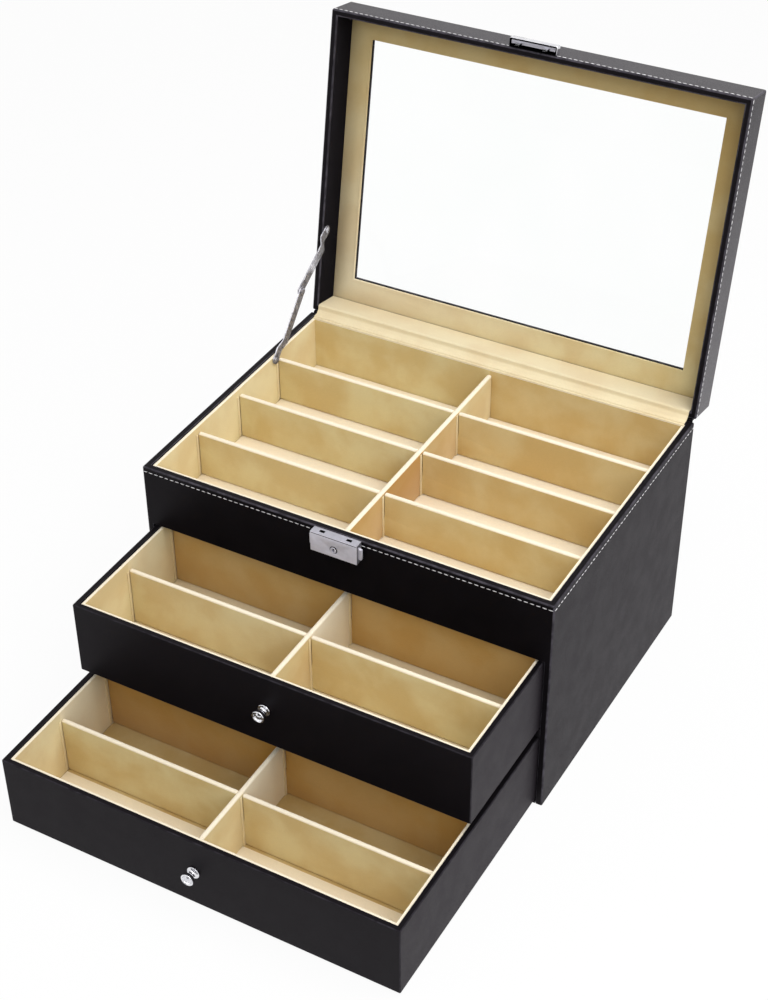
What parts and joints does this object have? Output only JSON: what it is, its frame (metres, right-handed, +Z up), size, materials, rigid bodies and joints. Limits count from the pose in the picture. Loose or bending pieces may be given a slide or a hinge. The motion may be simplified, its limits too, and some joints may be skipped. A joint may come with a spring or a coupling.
{
  "type": "eyeglasses display case",
  "caption": "Leather-covered display case with a glazed lid, a divided top tray, two divided drawers and a front lock.",
  "frame": {"origin": "centre of the case's underside, where it rests", "axes": "+X to the case's right as seen from the front, +Y to the back where the lid is hinged, +Z up; the drawers pull out towards -Y"},
  "size_m": [0.335, 0.5303, 0.4399],
  "materials": {
    "black_leatherette": "semi-matt grained leatherette over board",
    "cream_suede": "matt short-nap suede over board",
    "window_glass": "clear polished",
    "chrome": "polished chrome plate",
    "plated_steel": "satin nickel-plated steel"
  },
  "bodies": {
    "case": {"back_wall": "black_leatherette", "base_board": "black_leatherette", "drawer_shelf": "black_leatherette", "hinge_leather": "black_leatherette", "hinge_lining": "cream_suede", "left_wall": "black_leatherette", "lock_housing": "chrome", "lock_spring_left": "plated_steel", "lock_spring_right": "plated_steel", "right_wall": "black_leatherette", "stay_lower_screw": "plated_steel", "tray_centre_divider": "cream_suede", "tray_cross_divider_1": "cream_suede", "tray_cross_divider_2": "cream_suede", "tray_cross_divider_3": "cream_suede", "tray_floor_board": "black_leatherette", "tray_floor_pad": "cream_suede", "tray_front_panel": "black_leatherette", "tray_lining": "cream_suede"},
    "lid": {"lid_back_rail": "black_leatherette", "lid_front_rail": "black_leatherette", "lid_inner_frame": "cream_suede", "lid_left_rail": "black_leatherette", "lid_right_rail": "black_leatherette", "lid_top_frame": "black_leatherette", "window_glass": "window_glass", "hasp": "chrome", "stay_upper_screw": "plated_steel"},
    "top_drawer": {"top_drawer_back": "black_leatherette", "top_drawer_bottom": "black_leatherette", "top_drawer_centre_divider": "cream_suede", "top_drawer_cross_divider_1": "cream_suede", "top_drawer_cross_divider_2": "cream_suede", "top_drawer_cross_divider_3": "cream_suede", "top_drawer_floor_pad": "cream_suede", "top_drawer_front": "black_leatherette", "top_drawer_knob": "chrome", "top_drawer_knob_screw": "plated_steel", "top_drawer_left_side": "black_leatherette", "top_drawer_lining": "cream_suede", "top_drawer_right_side": "black_leatherette"},
    "bottom_drawer": {"bottom_drawer_back": "black_leatherette", "bottom_drawer_bottom": "black_leatherette", "bottom_drawer_centre_divider": "cream_suede", "bottom_drawer_cross_divider_1": "cream_suede", "bottom_drawer_cross_divider_2": "cream_suede", "bottom_drawer_cross_divider_3": "cream_suede", "bottom_drawer_floor_pad": "cream_suede", "bottom_drawer_front": "black_leatherette", "bottom_drawer_knob": "chrome", "bottom_drawer_knob_screw": "plated_steel", "bottom_drawer_left_side": "black_leatherette", "bottom_drawer_lining": "cream_suede", "bottom_drawer_right_side": "black_leatherette"},
    "stay_lower_arm": {"stay_lower_arm": "plated_steel", "stay_elbow_rivet": "plated_steel"},
    "stay_upper_arm": {"stay_upper_arm": "plated_steel"},
    "lock_button_left": {"lock_button_left": "chrome"},
    "lock_button_right": {"lock_button_right": "chrome"},
    "lock_cylinder": {"lock_cylinder": "plated_steel"}
  },
  "joints": [
    {"name": "lid_hinge", "type": "hinge", "parent": "case", "child": "lid", "pos_m": [0, 0.1232, 0.1911], "axis": [1, 0, 0], "range_deg": [0, 100], "deforming": ["hinge_leather", "hinge_lining"]},
    {"name": "top_drawer_slide", "type": "slide", "parent": "case", "child": "top_drawer", "axis": [0, -1, 0], "range_m": [-0.1055, 0.1045]},
    {"name": "bottom_drawer_slide", "type": "slide", "parent": "case", "child": "bottom_drawer", "axis": [0, -1, 0], "range_m": [-0.2035, 0.0065]},
    {"name": "stay_lower_pivot", "type": "hinge", "parent": "case", "child": "stay_lower_arm", "pos_m": [-0.159, 0.0525, 0.186], "axis": [1, 0, 0], "range_deg": [0, 114.2]},
    {"name": "stay_upper_pivot", "type": "hinge", "parent": "lid", "child": "stay_upper_arm", "pos_m": [-0.1615, 0.14053, 0.25831], "axis": [1, 0, 0], "range_deg": [-138.4, 0]},
    {"name": "lock_button_left_press", "type": "slide", "parent": "case", "child": "lock_button_left", "axis": [1, 0, 0], "range_m": [0, 0.0016], "stiffness_N_per_m": 400, "deforming": ["lock_spring_left"]},
    {"name": "lock_button_right_press", "type": "slide", "parent": "case", "child": "lock_button_right", "axis": [-1, 0, 0], "range_m": [0, 0.0016], "stiffness_N_per_m": 400, "deforming": ["lock_spring_right"]},
    {"name": "lock_cylinder_turn", "type": "hinge", "parent": "case", "child": "lock_cylinder", "pos_m": [0, -0.1296, 0.1802], "axis": [0, -1, 0], "range_deg": [0, 90]}
  ],
  "couplings": [
    {"joint": "stay_lower_pivot", "follows": "lid_hinge", "ratio": 1.1412},
    {"joint": "stay_upper_pivot", "follows": "lid_hinge", "ratio": -1.3837}
  ]
}
